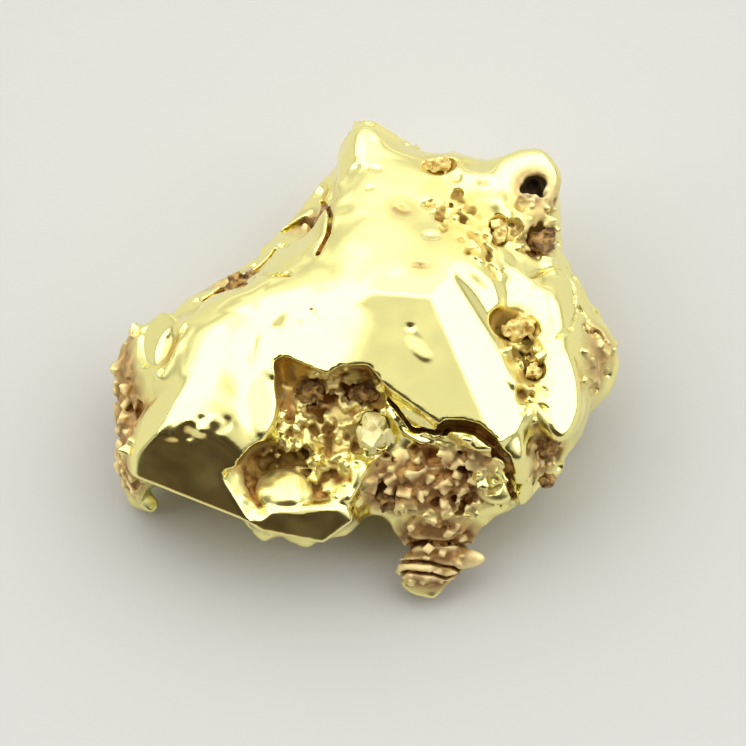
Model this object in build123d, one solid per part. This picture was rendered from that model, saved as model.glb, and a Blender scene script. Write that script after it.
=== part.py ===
from build123d import *
import math
import os
import random

from scipy.spatial import Delaunay

# A small natural gold nugget with grains of its host rock still lodged in it.
# Frame: origin under the middle of the nugget, on the surface it rests on; +X along its length, +Z up.
# The nugget is one irregular mass of native gold. Its form is set by groups of high and low points, one group
# for each feature, joined by flat triangles: a roof of triangles over the rim, and a keel of triangles under it.
# Each grain of quartz or ironstone is a solid of its own, in a pocket of its own shape in the gold.

# Driving dimensions, in mm
NUGGET_LENGTH = 12.0
FORM_LENGTH = 12.0  # the length at which the points below are given
GRAIN_CORNERS = 15
GRAIN_UNEVENNESS = 0.3
GOLDEN_ANGLE = math.pi * (3 - math.sqrt(5))

# The rim: the widest outline seen from above, counter-clockwise from the north peak
RIM = [
    (-0.4, 5.6, 3.0), (-1.0, 4.7, 2.6), (-1.4, 4.0, 2.3), (-1.9, 3.3, 2.1), (-3.0, 2.2, 2.0), (-3.9, 1.7, 2.0),
    (-4.7, 1.1, 2.3), (-5.4, 0.7, 2.6), (-5.8, 0.3, 2.1), (-6.0, -0.1, 1.8), (-6.0, -1.0, 1.6),
    (-5.8, -2.0, 1.3), (-5.8, -3.0, 0.8), (-5.4, -3.4, 0.8), (-4.8, -3.6, 1.9), (-3.8, -4.1, 2.1),
    (-2.9, -4.5, 2.2), (-2.1, -4.8, 2.1), (-1.3, -4.9, 2.1), (-0.7, -4.7, 2.1), (-0.2, -4.2, 2.0),
    (0.1, -3.9, 1.7), (0.4, -4.1, 1.3), (0.6, -4.5, 0.9), (0.6, -5.0, 0.6), (0.9, -5.5, 0.5), (1.5, -5.6, 0.5),
    (2.1, -5.3, 0.6), (2.7, -4.6, 0.9), (2.5, -4.2, 1.3), (3.0, -3.9, 1.9), (3.5, -3.9, 2.3), (4.0, -3.5, 2.3),
    (4.5, -3.0, 2.2), (5.0, -2.1, 2.1), (5.2, -1.5, 2.0), (5.7, -0.9, 1.9), (6.0, -0.3, 2.0), (6.0, 0.2, 2.2),
    (5.4, 1.0, 2.4), (5.0, 1.6, 2.4), (4.7, 2.8, 2.5), (4.7, 3.6, 2.7), (4.5, 4.2, 3.0), (4.2, 4.7, 3.2),
    (3.5, 4.7, 3.1), (2.8, 4.7, 2.9), (1.6, 4.9, 2.9), (0.9, 5.1, 2.9), (0.2, 5.6, 3.0),
]

# The upper side, feature by feature
PEAK = [(-0.1, 5.1, 3.6), (-0.4, 4.7, 3.7), (0.2, 4.7, 3.7)]
NORTH_PLATEAU = [
    (0.8, 4.4, 3.8), (2.0, 4.0, 3.9), (2.6, 3.7, 4.0), (1.6, 3.6, 4.0), (0.7, 3.4, 4.2), (0.0, 3.7, 4.1),
    (2.3, 3.0, 4.1), (1.4, 2.6, 4.3), (0.6, 2.6, 4.5), (-0.2, 2.7, 4.4),
]
NORTHEAST_HORN = [(3.2, 4.0, 3.9), (3.7, 4.0, 4.2), (4.1, 4.0, 4.1), (3.7, 3.5, 3.9), (3.2, 3.2, 4.1)]
NORTHEAST_SLOPE = [
    (4.0, 2.9, 3.7), (4.4, 2.7, 3.3), (3.0, 2.5, 4.1), (3.5, 2.1, 3.8), (4.2, 2.1, 3.4), (3.2, 1.5, 4.2),
    (3.9, 1.1, 4.0), (4.6, 1.5, 3.4),
]
NORTH_SLOPE = [(-0.5, 1.8, 4.6), (0.4, 1.7, 4.8), (1.3, 1.5, 4.85), (2.2, 1.6, 4.75)]
EAST_BAND = [
    (2.4, 1.0, 4.85), (2.8, 0.2, 4.65), (2.9, -0.7, 4.55), (3.2, -1.6, 4.4), (3.5, -2.6, 4.2), (3.6, -3.4, 3.9),
]
EAST_POCKET = [
    (3.2, 0.1, 4.1), (3.6, -0.1, 3.9), (3.4, -0.6, 4.0), (4.0, -0.4, 4.1), (3.7, -1.4, 4.1), (4.0, -1.3, 4.0),
    (3.9, -2.3, 4.0),
]
EAST_LIMB = [
    (4.4, 0.7, 4.2), (4.5, 0.2, 4.2), (4.4, -0.6, 4.3), (4.6, -1.4, 4.2), (4.9, -2.1, 3.8), (4.3, -2.4, 3.8),
    (4.2, -3.0, 2.9),
]
EAST_BLOCK = [(4.9, 0.2, 3.5), (5.3, -0.2, 3.3), (5.7, -0.1, 2.8), (5.4, -0.9, 2.9), (5.1, -1.4, 2.9)]
DOME = [
    (-0.7, 0.2, 4.9), (0.0, 0.5, 5.1), (0.8, 0.6, 5.2), (1.5, 0.5, 5.3), (1.8, -0.1, 5.1), (2.2, -0.9, 4.8),
    (2.4, -1.7, 4.6), (0.7, -0.6, 4.8), (1.7, -1.8, 4.5), (0.8, -1.4, 4.5), (-0.3, -0.6, 4.7), (2.6, -2.4, 4.5),
]
DOME_WEST_SHOULDER = [(-1.8, -0.3, 4.5), (-1.4, 0.7, 4.6), (-0.7, 1.1, 4.7), (-2.2, -0.6, 4.2), (-1.1, -1.0, 4.4)]
LIP = [(-0.2, -1.1, 4.4), (0.4, -1.5, 4.2), (0.9, -2.1, 4.1), (1.6, -2.5, 4.1), (2.4, -2.8, 4.2), (3.1, -3.4, 4.0)]
WEST_LOBE = [
    (-3.4, -0.1, 4.4), (-2.6, 0.4, 4.3), (-3.9, -0.4, 4.2), (-4.4, -1.3, 4.0), (-3.6, -1.0, 4.4),
    (-2.8, -1.1, 4.3), (-3.0, -1.9, 4.2), (-3.9, -2.1, 4.1), (-2.4, -2.0, 4.0),
]
WEST_FACE = [
    (-5.2, -2.3, 3.5), (-4.6, -2.4, 3.7), (-3.8, -2.5, 3.8), (-3.1, -2.8, 3.7), (-5.5, -2.5, 2.9),
    (-5.2, -3.1, 2.9), (-4.6, -3.4, 3.0), (-3.7, -3.9, 2.8), (-2.9, -4.2, 2.7),
]
CUP_RIM = [
    (-3.2, -3.3, 3.5), (-3.0, -3.8, 3.2), (-2.6, -4.1, 3.0), (-1.8, -4.3, 3.0), (-1.0, -4.2, 3.0),
    (-0.4, -3.9, 3.1), (-0.2, -3.4, 3.2),
]
CUP_FRONT = [(-1.9, -4.6, 2.6), (-1.2, -4.7, 2.6), (-0.6, -4.4, 2.7)]
CUP_FLOOR = [(-2.5, -3.0, 3.0), (-2.3, -3.8, 2.7), (-1.4, -3.8, 2.7), (-0.8, -3.2, 2.9)]
CAVITY_FLOOR = [
    (-2.1, -1.2, 3.7), (-1.6, -1.4, 3.2), (-0.7, -1.3, 3.1), (0.1, -1.6, 3.2), (-1.2, -2.1, 3.0),
    (-0.2, -2.4, 3.1), (-2.0, -2.5, 3.3), (0.6, -2.3, 3.2),
]
APRON = [
    (0.4, -2.9, 2.9), (1.2, -2.9, 3.1), (2.0, -3.1, 3.2), (2.7, -3.4, 3.3), (0.3, -3.6, 2.3), (1.0, -3.6, 2.6),
    (1.8, -3.6, 2.7), (2.5, -3.8, 2.7), (0.9, -4.1, 1.9), (1.7, -4.2, 2.0), (2.2, -4.0, 2.0),
]
TAIL = [(1.3, -4.7, 1.4), (2.0, -4.6, 1.4), (1.1, -5.2, 0.9), (1.7, -5.2, 0.9), (2.3, -4.7, 1.1)]
NORTHWEST_SHOULDER = [
    (-4.3, 0.1, 3.9), (-3.6, 0.6, 3.9), (-2.8, 0.9, 4.1), (-1.8, 1.4, 4.2), (-1.2, 2.1, 4.1), (-0.9, 2.8, 4.0),
    (-0.7, 3.5, 3.9),
]
NORTHWEST_GROOVE = [
    (-3.8, 1.1, 2.9), (-3.0, 1.6, 2.8), (-2.3, 2.1, 2.9), (-1.6, 2.9, 2.9), (-1.1, 3.5, 3.0), (-0.8, 4.3, 3.2),
]
WEST_SHOULDER = [(-5.2, 0.3, 3.2), (-4.8, -0.9, 3.6), (-5.3, -0.8, 2.9), (-5.6, -1.9, 2.3)]

UPPER_SIDE = [
    PEAK, NORTH_PLATEAU, NORTHEAST_HORN, NORTHEAST_SLOPE, NORTH_SLOPE, EAST_BAND, EAST_POCKET, EAST_LIMB,
    EAST_BLOCK, DOME, DOME_WEST_SHOULDER, LIP, WEST_LOBE, WEST_FACE, CUP_RIM, CUP_FRONT, CUP_FLOOR,
    CAVITY_FLOOR, APRON, TAIL, NORTHWEST_SHOULDER, NORTHWEST_GROOVE, WEST_SHOULDER,
]

# The under side: a belly drawn in below the rim, and a flat where the nugget was worn and now rests
BELLY = [
    (-0.2, 5.1, 1.9), (-1.1, 3.7, 1.2), (-2.1, 2.5, 0.9), (-3.4, 1.5, 0.9), (-4.5, 0.8, 1.1), (-5.3, 0.1, 1.0),
    (-5.4, -1.2, 0.8), (-5.2, -2.7, 0.4), (-4.2, -3.3, 0.8), (-3.0, -3.9, 1.1), (-1.6, -4.4, 1.1),
    (-0.5, -4.1, 1.1), (0.2, -3.5, 0.8), (0.9, -4.3, 0.3), (1.2, -5.2, 0.2), (2.0, -4.7, 0.3),
    (2.3, -3.8, 0.7), (3.3, -3.5, 1.1), (4.1, -2.8, 1.0), (4.8, -1.5, 0.9), (5.5, -0.2, 1.1), (4.9, 1.0, 1.2),
    (4.3, 2.4, 1.2), (4.2, 3.9, 1.8), (3.0, 4.2, 1.5), (1.4, 4.5, 1.4),
]
WORN_FLAT = [
    (-0.4, 3.2), (-1.4, 1.7), (-2.8, 0.7), (-4.1, -0.2), (-4.4, -1.6), (-3.6, -2.7), (-2.1, -3.2), (-0.5, -3.0),
    (0.8, -3.4), (2.2, -3.0), (3.4, -1.9), (4.1, -0.4), (3.6, 1.3), (3.3, 2.9), (1.6, 3.5),
]

# Grains of host rock: centre, size along its own length, width and depth, turn about Z, and the seed of its corners
GRAINS = {
    "summit_quartz_grain": ((1.65, 4.05, 3.85), (0.75, 0.55, 0.5), 10, 1),
    "upper_pit_quartz_grain": ((3.05, 2.3, 4.0), (0.85, 0.5, 0.55), 75, 2),
    "northeast_ironstone_grain": ((4.05, 2.3, 3.45), (0.9, 0.8, 0.6), 40, 3),
    "east_pocket_quartz_grain": ((3.5, -0.05, 3.95), (1.0, 0.8, 0.7), 20, 4),
    "east_run_quartz_grain": ((3.85, -1.1, 4.0), (0.7, 0.5, 0.5), 110, 5),
    "southeast_ironstone_grain": ((4.2, -2.75, 3.15), (0.65, 0.5, 0.5), 30, 6),
    "southeast_foot_ironstone_grain": ((4.15, -3.3, 2.45), (0.5, 0.4, 0.45), 60, 7),
    "cavity_west_ironstone_grain": ((-1.35, -1.35, 3.25), (0.9, 0.65, 0.6), 0, 8),
    "cavity_east_ironstone_grain": ((-0.15, -1.45, 3.25), (0.8, 0.55, 0.6), 165, 9),
    "cavity_quartz_grain": ((0.1, -2.3, 3.15), (0.95, 0.75, 0.7), 70, 10),
    "apron_ironstone_grain": ((0.45, -3.65, 2.25), (0.9, 0.55, 0.5), 85, 11),
    "north_groove_ironstone_grain": ((-1.05, 2.95, 3.35), (1.1, 0.45, 0.55), 65, 12),
    "northwest_groove_ironstone_grain": ((-2.95, 1.5, 2.85), (1.1, 0.45, 0.5), 35, 13),
}


def scaled(points):
    """The points at the nugget's real size."""
    scale = NUGGET_LENGTH / FORM_LENGTH
    return [tuple(scale * value for value in point) for point in points]


def inside_rim(x, y, rim):
    """Whether a place seen from above is inside the rim, by counting the rim's edges to its right."""
    inside = False
    for (x1, y1, _), (x2, y2, _) in zip(rim, rim[1:] + rim[:1]):
        crosses = (y1 > y) != (y2 > y)
        if crosses and x < x1 + (y - y1) / (y2 - y1) * (x2 - x1):
            inside = not inside
    return inside


def sheet_of_triangles(rim, points, facing_up):
    """Triangular faces over the rim and the points within it, laid out as seen from above."""
    corners = rim + points
    faces = []
    for triangle in Delaunay([corner[:2] for corner in corners]).simplices:
        a, b, c = (corners[index] for index in triangle)
        if not inside_rim((a[0] + b[0] + c[0]) / 3, (a[1] + b[1] + c[1]) / 3, rim):
            continue
        turn = (b[0] - a[0]) * (c[1] - a[1]) - (b[1] - a[1]) * (c[0] - a[0])
        if (turn > 0) != facing_up:
            b, c = c, b
        faces.append(Face(Wire.make_polygon([a, b, c], close=True)))
    return faces


def gold_form():
    """The whole nugget as one closed solid, before the grains' pockets are cut."""
    rim = scaled(RIM)
    roof = scaled([point for feature in UPPER_SIDE for point in feature])
    keel = scaled(BELLY) + scaled([(x, y, 0.0) for x, y in WORN_FLAT])
    faces = sheet_of_triangles(rim, roof, True) + sheet_of_triangles(rim, keel, False)
    return Solid(Shell(faces)).clean()


def grain_form(centre, size, turn, seed):
    """An irregular angular grain: corners spread over an ellipsoid, each drawn in by its own amount."""
    shape = random.Random(seed)
    corners = []
    for number in range(GRAIN_CORNERS):
        height = 1 - 2 * (number + 0.5) / GRAIN_CORNERS
        girth = math.sqrt(1 - height * height)
        around = number * GOLDEN_ANGLE
        reach = 1 - GRAIN_UNEVENNESS * shape.random()
        direction = (girth * math.cos(around), girth * math.sin(around), height)
        corners.append(tuple(reach * along * extent / 2 for along, extent in zip(direction, size)))
    return Pos(*scaled([centre])[0]) * Rot(0, 0, turn) * ConvexPolyhedron(scaled(corners))


def export_node(name, solid):
    """Writes one sub-part to its own file."""
    solid.label = name
    export_step(solid, f"parts/{name}.step")


os.makedirs("parts", exist_ok=True)

grains = {name: grain_form(*values) for name, values in GRAINS.items()}
gold = gold_form()
for grain in grains.values():
    gold = gold - grain

export_node("gold_mass", gold)
for name, grain in grains.items():
    export_node(name, grain)
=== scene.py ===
import math

import bpy
import numpy as np
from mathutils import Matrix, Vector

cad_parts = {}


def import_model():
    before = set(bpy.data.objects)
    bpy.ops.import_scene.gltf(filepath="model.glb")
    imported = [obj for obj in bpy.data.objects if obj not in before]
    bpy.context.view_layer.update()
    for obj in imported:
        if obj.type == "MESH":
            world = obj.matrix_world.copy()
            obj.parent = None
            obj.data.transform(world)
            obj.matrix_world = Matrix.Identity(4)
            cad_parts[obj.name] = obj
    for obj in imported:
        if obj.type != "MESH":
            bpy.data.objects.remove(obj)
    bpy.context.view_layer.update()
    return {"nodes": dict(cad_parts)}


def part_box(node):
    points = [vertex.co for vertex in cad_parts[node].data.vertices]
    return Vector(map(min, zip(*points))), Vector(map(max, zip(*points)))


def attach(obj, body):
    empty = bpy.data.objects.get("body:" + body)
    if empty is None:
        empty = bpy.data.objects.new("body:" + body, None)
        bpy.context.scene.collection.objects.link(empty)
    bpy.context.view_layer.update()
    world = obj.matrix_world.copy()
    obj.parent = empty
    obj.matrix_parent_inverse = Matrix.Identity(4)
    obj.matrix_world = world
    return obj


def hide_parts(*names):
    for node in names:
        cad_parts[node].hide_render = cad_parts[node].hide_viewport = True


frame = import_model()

import openvdb
from mathutils import Matrix, Vector

# A small natural gold nugget. Sizes and places in this script are in millimetres in the model's own frame,
# and become metres where meshes and objects are made. +X is east, +Y is north and +Z is up. The gold is
# sculpted as clay: a field of distances to its skin. A region is an ellipsoid, as (centre, radii, turn).
MM = 0.001
GOLD_VOXEL = 0.045
GRAIN_VOXEL = 0.02
BAND_VOXELS = 12  # how far from the skin the starting distances reach
EVERYWHERE = ((-9, -9, -9), (9, 9, 9))  # corners of a box that holds all the clay

GRAIN_GAP = 0.02
PALE_GRAIN = "cavity_quartz_grain"
PALE_GRAIN_GROWTH = 0.1  # how much further the pale grain reaches than its CAD solid
QUARTZ_GRAINS = [
    "summit_quartz_grain", "upper_pit_quartz_grain", "east_pocket_quartz_grain", "east_run_quartz_grain",
    PALE_GRAIN,
]
IRONSTONE_GRAINS = [
    "northeast_ironstone_grain", "southeast_ironstone_grain", "southeast_foot_ironstone_grain",
    "cavity_west_ironstone_grain", "cavity_east_ironstone_grain", "apron_ironstone_grain",
    "north_groove_ironstone_grain", "northwest_groove_ironstone_grain",
]
ALL_GRAINS = QUARTZ_GRAINS + IRONSTONE_GRAINS
FIRST_GRAIN_SEED = 40


# ------------------------------ shapes for sculpting ------------------------------
def turned(degrees_x, degrees_y, degrees_z):
    """A rotation about X, then Y, then Z, as an array."""
    about_x, about_y, about_z = (
        Matrix.Rotation(math.radians(angle), 3, axis)
        for angle, axis in zip((degrees_x, degrees_y, degrees_z), "XYZ")
    )
    return np.array(about_z @ about_y @ about_x)


def random_turn(rng):
    """Three random axes, square to each other, for shapes that look the same mirrored."""
    axes, _ = np.linalg.qr(rng.normal(size=(3, 3)))
    return axes


FAR = 1e3  # further than any distance in the clay
TINY = 1e-6  # keeps a divisor from being nothing


def ellipsoid(centre, radii, turn=None):
    """An ellipsoid, as a shape that clay can take."""
    centre, radii = np.array(centre, float), np.array(radii, float)
    turn = np.eye(3) if turn is None else turn

    def distance(points):
        local = (points - centre) @ turn
        near = np.linalg.norm(local / radii, axis=-1)
        slope = np.linalg.norm(local / radii ** 2, axis=-1)
        return near * (near - 1) / np.maximum(slope, TINY)

    reach = radii.max()
    return distance, centre - reach, centre + reach


def block(centre, halves, turn, rounding=0.01):
    """A turned box with slightly rounded edges, such as a cubic crystal."""
    centre, halves = np.array(centre, float), np.array(halves, float)

    def distance(points):
        outside = np.abs((points - centre) @ turn) - halves + rounding
        beyond = np.linalg.norm(np.maximum(outside, 0), axis=-1)
        return beyond + np.minimum(outside.max(axis=-1), 0) - rounding

    reach = np.linalg.norm(halves)
    return distance, centre - reach, centre + reach


OCTAHEDRON_SLOPE = 0.577  # one over the square root of three


def octahedron(centre, reach, turn, stretch):
    """A turned octahedral crystal, stretched along its own axes."""
    centre, stretch = np.array(centre, float), np.array(stretch, float)

    def distance(points):
        local = np.abs((points - centre) @ turn) / stretch
        return (local.sum(axis=-1) - reach) * OCTAHEDRON_SLOPE * stretch.min()

    far = reach * stretch.max()
    return distance, centre - far, centre + far


def rod(path):
    """A chain of rounded rods through (x, y, z, radius) points."""
    path = np.array(path, float)
    places, radii = path[:, :3], path[:, 3]

    def distance(points):
        nearest = np.full(points.shape[:-1], FAR)
        for start, end, thick, thin in zip(places, places[1:], radii, radii[1:]):
            along = end - start
            share = np.clip((points - start) @ along / (along @ along), 0, 1)
            gap = np.linalg.norm(points - start - share[..., None] * along, axis=-1)
            nearest = np.minimum(nearest, gap - thick - share * (thin - thick))
        return nearest

    far = radii.max()
    return distance, places.min(0) - far, places.max(0) + far


def faceted(planes, rounding=0.0):
    """A convex body bounded by planes, with rounded creases. Its corners are those of all the clay."""
    def distance(points):
        furthest = np.full(points.shape[:-1], -FAR)
        for point, outward in planes:
            outward = np.array(outward, float) / np.linalg.norm(outward)
            furthest = -soft_min(-furthest, -((points - np.array(point)) @ outward), rounding)
        return furthest

    return (distance, *np.array(EVERYWHERE, float))


def common(rounding, shape, other):
    """The part of a shape that lies in another one too, with rounded creases."""
    def distance(points):
        return -soft_min(-shape[0](points), -other[0](points), rounding)

    return distance, shape[1], shape[2]


def soft_min(a, b, blend):
    """The lower of two distances, rounded where they meet."""
    if blend <= 0:
        return np.minimum(a, b)
    overlap = np.maximum(blend - np.abs(a - b), 0)
    return np.minimum(a, b) - overlap * overlap / (4 * blend)


def soft_step(share):
    """A share from 0 to 1, with a soft start and end."""
    return share * share * (3 - 2 * share)


def soft_noise(shape, spacing, rng):
    """Smooth noise from -1 to 1 on a grid, with random values that lie spacing grid steps apart."""
    values = rng.uniform(-1, 1, [int(n / spacing) + 3 for n in shape]).astype(np.float32)
    for axis, count in enumerate(shape):
        place = np.arange(count) / spacing
        cell = place.astype(int)
        share = soft_step((place - cell).astype(np.float32))
        share = share.reshape([-1 if a == axis else 1 for a in range(3)])
        low, high = np.take(values, cell, axis), np.take(values, cell + 1, axis)
        values = low + (high - low) * share
    return values


# ------------------------------ clay ------------------------------
BELL_REACH = 2.6  # where a bell curve is cut off, in widths


def node_corners(node):
    """The low and high corners of a CAD node's box."""
    low, high = (np.array(corner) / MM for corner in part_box(node))
    return low, high


class Clay:
    """A solid as distances to its skin on a grid, negative inside, that shapes are added to and cut from.

    Every shape is (distance function, low corner, high corner).
    """

    def __init__(self, nodes, voxel):
        self.voxel = voxel
        corners = np.array([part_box(node) for node in nodes]) / MM
        margin = BAND_VOXELS * voxel
        self.first = np.floor((corners[:, 0].min(0) - margin) / voxel).astype(int)
        last = np.ceil((corners[:, 1].max(0) + margin) / voxel).astype(int)
        self.field = np.full(last - self.first, margin, np.float32)
        for node in nodes:
            self.field = np.minimum(self.field, self.node_field([node]))

    def node_field(self, nodes):
        """The distances to the skins of CAD nodes that don't touch each other."""
        corners, triangles, count = [], [], 0
        for node in nodes:
            mesh = frame["nodes"][node].data
            mesh.calc_loop_triangles()
            places = np.empty(len(mesh.vertices) * 3, np.float32)
            mesh.vertices.foreach_get("co", places)
            corners.append(places.reshape(-1, 3) / np.float32(MM))
            indices = np.empty(len(mesh.loop_triangles) * 3, np.int32)
            mesh.loop_triangles.foreach_get("vertices", indices)
            triangles.append(indices.reshape(-1, 3) + count)
            count += len(mesh.vertices)
        grid = openvdb.FloatGrid.createLevelSetFromPolygons(
            np.concatenate(corners), triangles=np.concatenate(triangles).astype(np.uint32),
            transform=openvdb.createLinearTransform(voxelSize=self.voxel), halfWidth=float(BAND_VOXELS),
        )
        field = np.empty(self.field.shape, np.float32)
        grid.copyToArray(field, ijk=tuple(int(i) for i in self.first))
        return field

    def window(self, low, high):
        """The part of the grid that covers a box, and the places of its points."""
        start = np.floor(np.array(low) / self.voxel).astype(int) - self.first
        stop = np.ceil(np.array(high) / self.voxel).astype(int) - self.first + 1
        start, stop = (np.clip(ends, 0, self.field.shape) for ends in (start, stop))
        axes = [(np.arange(a, b) + f) * self.voxel for a, b, f in zip(start, stop, self.first)]
        part = tuple(slice(a, b) for a, b in zip(start, stop))
        return part, np.stack(np.meshgrid(*axes, indexing="ij"), axis=-1)

    def add(self, shape, blend=0.0):
        """Presses a shape onto the clay."""
        distance, low, high = shape
        part, points = self.window(low - blend - self.voxel, high + blend + self.voxel)
        if points.size:
            self.field[part] = soft_min(self.field[part], distance(points), blend)

    def cut(self, shape, blend=0.0):
        """Takes a shape out of the clay."""
        distance, low, high = shape
        part, points = self.window(low - blend - self.voxel, high + blend + self.voxel)
        if points.size:
            self.field[part] = -soft_min(-self.field[part], distance(points), blend)

    def mould(self, shape, centre, radii, fade, turn=None):
        """Gives the clay a shape's skin within an ellipsoid, and fades back to its own at the edge."""
        inside, low, high = ellipsoid(centre, radii, turn)
        part, points = self.window(low - fade, high + fade)
        share = soft_step(np.clip(0.5 - inside(points) / fade, 0, 1))
        self.field[part] += (shape[0](points) - self.field[part]) * share

    def blurred(self, field, width):
        """A field averaged over a bell curve of that width, in mm."""
        spread = width / self.voxel
        reach = math.ceil(BELL_REACH * spread)
        weights = np.exp(-0.5 * (np.arange(-reach, reach + 1) / spread) ** 2)
        weights = (weights / weights.sum()).astype(np.float32)
        for axis in range(3):
            padding = [(reach, reach) if a == axis else (0, 0) for a in range(3)]
            padded = np.pad(field, padding, mode="edge")
            total = np.zeros_like(field)
            for step, weight in enumerate(weights):
                moved = slice(step, step + field.shape[axis])
                part = tuple(moved if a == axis else slice(None) for a in range(3))
                total += weight * padded[part]
            field = total
        return field

    def top(self, x, y):
        """The height of the upper skin above a place."""
        i, j = (int(round(v / self.voxel)) - f for v, f in zip((x, y), self.first))
        column = self.field[i, j]
        inside = np.flatnonzero(column < 0)
        if not len(inside):
            return 0.0
        k = inside[-1]
        share = column[k] / (column[k] - column[k + 1])
        return (k + share + self.first[2]) * self.voxel

    def skin(self, centre, radii, turn=None):
        """Places on the skin within an ellipsoid, and the outward directions there."""
        distance, low, high = ellipsoid(centre, radii, turn)
        part, points = self.window(low, high)
        field = self.field[part]
        slopes = np.stack(np.gradient(field), axis=-1)
        near = (np.abs(field) < 0.6 * self.voxel) & (distance(points) < 0)
        slopes = slopes[near]
        return points[near], slopes / np.maximum(np.linalg.norm(slopes, axis=-1, keepdims=True), TINY)

    def sampled(self, field, places):
        """A field's values between grid points."""
        at = places / self.voxel - self.first
        cell = np.clip(np.floor(at).astype(int), 0, np.array(self.field.shape) - 2)
        share = at - cell
        total = np.zeros(len(places))
        for corner in np.ndindex(2, 2, 2):
            weight = np.prod(np.where(corner, share, 1 - share), axis=1)
            total += weight * field[tuple((cell + corner).T)]
        return total

    def mesh(self, name):
        """The skin as a Blender object, without loose crumbs."""
        reach = 3 * self.voxel
        grid = openvdb.FloatGrid(reach)
        grid.copyFromArray(np.clip(self.field, -reach, reach).astype(np.float32))
        grid.gridClass = openvdb.GridClass.LEVEL_SET
        places, quads = grid.convertToQuads(0.0)
        places = (places + self.first) * self.voxel
        places, quads = largest_piece(places, quads.astype(np.int64))
        mesh = bpy.data.meshes.new(name)
        mesh.vertices.add(len(places))
        mesh.vertices.foreach_set("co", (places * MM).astype(np.float32).ravel())
        mesh.loops.add(quads.size)
        mesh.loops.foreach_set("vertex_index", quads[:, ::-1].astype(np.int32).ravel())
        mesh.polygons.add(len(quads))
        mesh.polygons.foreach_set("loop_start", np.arange(0, quads.size, 4, dtype=np.int32))
        mesh.polygons.foreach_set("loop_total", np.full(len(quads), 4, np.int32))
        mesh.polygons.foreach_set("use_smooth", np.ones(len(quads), bool))
        mesh.update(calc_edges=True)
        mesh.validate()
        made = bpy.data.objects.new(name, mesh)
        bpy.context.scene.collection.objects.link(made)
        return made, places


def largest_piece(places, quads):
    """Keeps only the connected piece that has the most points."""
    label = np.arange(len(places))
    while True:
        lowest = label[quads].min(axis=1)
        merged = label.copy()
        np.minimum.at(merged, quads.ravel(), np.repeat(lowest, 4))
        merged = merged[merged]
        if (merged == label).all():
            break
        label = merged
    keep = label == np.bincount(label).argmax()
    number = np.cumsum(keep) - 1
    return places[keep], number[quads[keep[quads[:, 0]]]]


def store(made, name, values):
    """Keeps a number for each point of a mesh, for its material."""
    attribute = made.data.attributes.new(name, "FLOAT", "POINT")
    attribute.data.foreach_set("value", values.astype(np.float32))


# ------------------------------ ways of sculpting ------------------------------
PATH_STEP = 0.14


def on_skin(clay, path, lift=0.0):
    """A plan path cut into short steps and given heights: the clay's upper skin there, plus lift."""
    places = []
    for (x1, y1), (x2, y2) in zip(path, path[1:]):
        count = max(1, round(math.hypot(x2 - x1, y2 - y1) / PATH_STEP))
        places += [(x1 + (x2 - x1) * i / count, y1 + (y2 - y1) * i / count) for i in range(count)]
    places.append(path[-1])
    return [(x, y, clay.top(x, y) + lift) for x, y in places]


def crack(clay, path, width, depth, lean=(0.0, 0.0), blend=0.02):
    """A narrow gap along a plan path, deeper than it is wide, that leans as it goes down."""
    levels = max(2, math.ceil(depth / (0.35 * width)))
    skin = on_skin(clay, path)
    for level in range(levels + 1):
        share = level / levels
        radius = width / 2 * (1 - 0.6 * share)
        rods = [(x + lean[0] * share, y + lean[1] * share, z - depth * share, radius) for x, y, z in skin]
        clay.cut(rod(rods), blend)


def ridge(clay, path, width, lift, blend=0.05):
    """A raised rounded line along a plan path."""
    clay.add(rod([(x, y, z - width / 2, width / 2) for x, y, z in on_skin(clay, path, lift)]), blend)


def pit(clay, x, y, radii, depth, turn=0.0, blend=0.04):
    """A hollow in the upper skin, depth deep."""
    centre = (x, y, clay.top(x, y) - depth + radii[2])
    clay.cut(ellipsoid(centre, radii, turned(0, 0, turn)), blend)


def crystals(clay, region, count, sizes, seed, cut_share=0.4, blend=0.008):
    """Small crystals and angular pits at random places on the skin within a region."""
    rng = np.random.default_rng(seed)
    places, outwards = clay.skin(*region)
    if not len(places):
        return
    for pick in rng.integers(0, len(places), count):
        size = rng.uniform(*sizes)
        turn = random_turn(rng)
        cutting = rng.random() < cut_share
        sink = rng.uniform(0.0, 0.35) * size
        centre = places[pick] + outwards[pick] * (0.1 * size if cutting else -sink)
        if rng.random() < 0.5:
            shape = block(centre, size / 2 * rng.uniform(0.55, 1.15, 3), turn)
        else:
            shape = octahedron(centre, size * 0.75, turn, rng.uniform(0.7, 1.2, 3))
        if cutting:
            clay.cut(shape, blend)
        else:
            clay.add(shape, blend)


def rumple(clay, region, size, depth, seed):
    """Uneven dents and swellings about size across within a region, fading to nothing at its edge."""
    distance, low, high = ellipsoid(*region)
    part, points = clay.window(low, high)
    fade = 0.4 * min(region[1])
    share = np.clip(-distance(points) / fade, 0, 1)
    noise = soft_noise(share.shape, size / clay.voxel, np.random.default_rng(seed))
    clay.field[part] += depth * noise * share


def pocks(clay, region, count, sizes, depth, seed):
    """Rounded dents at random places on the skin within a region. Their depth is a share of their size."""
    rng = np.random.default_rng(seed)
    places, outwards = clay.skin(*region)
    for pick in rng.integers(0, len(places), count):
        radii = rng.uniform(*sizes) * rng.uniform(0.7, 1.3, 3)
        centre = places[pick] + outwards[pick] * radii.min() * (1 - depth * rng.uniform(0.5, 1.5))
        clay.cut(ellipsoid(centre, radii, random_turn(rng)), 0.25 * radii.min())


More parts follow.
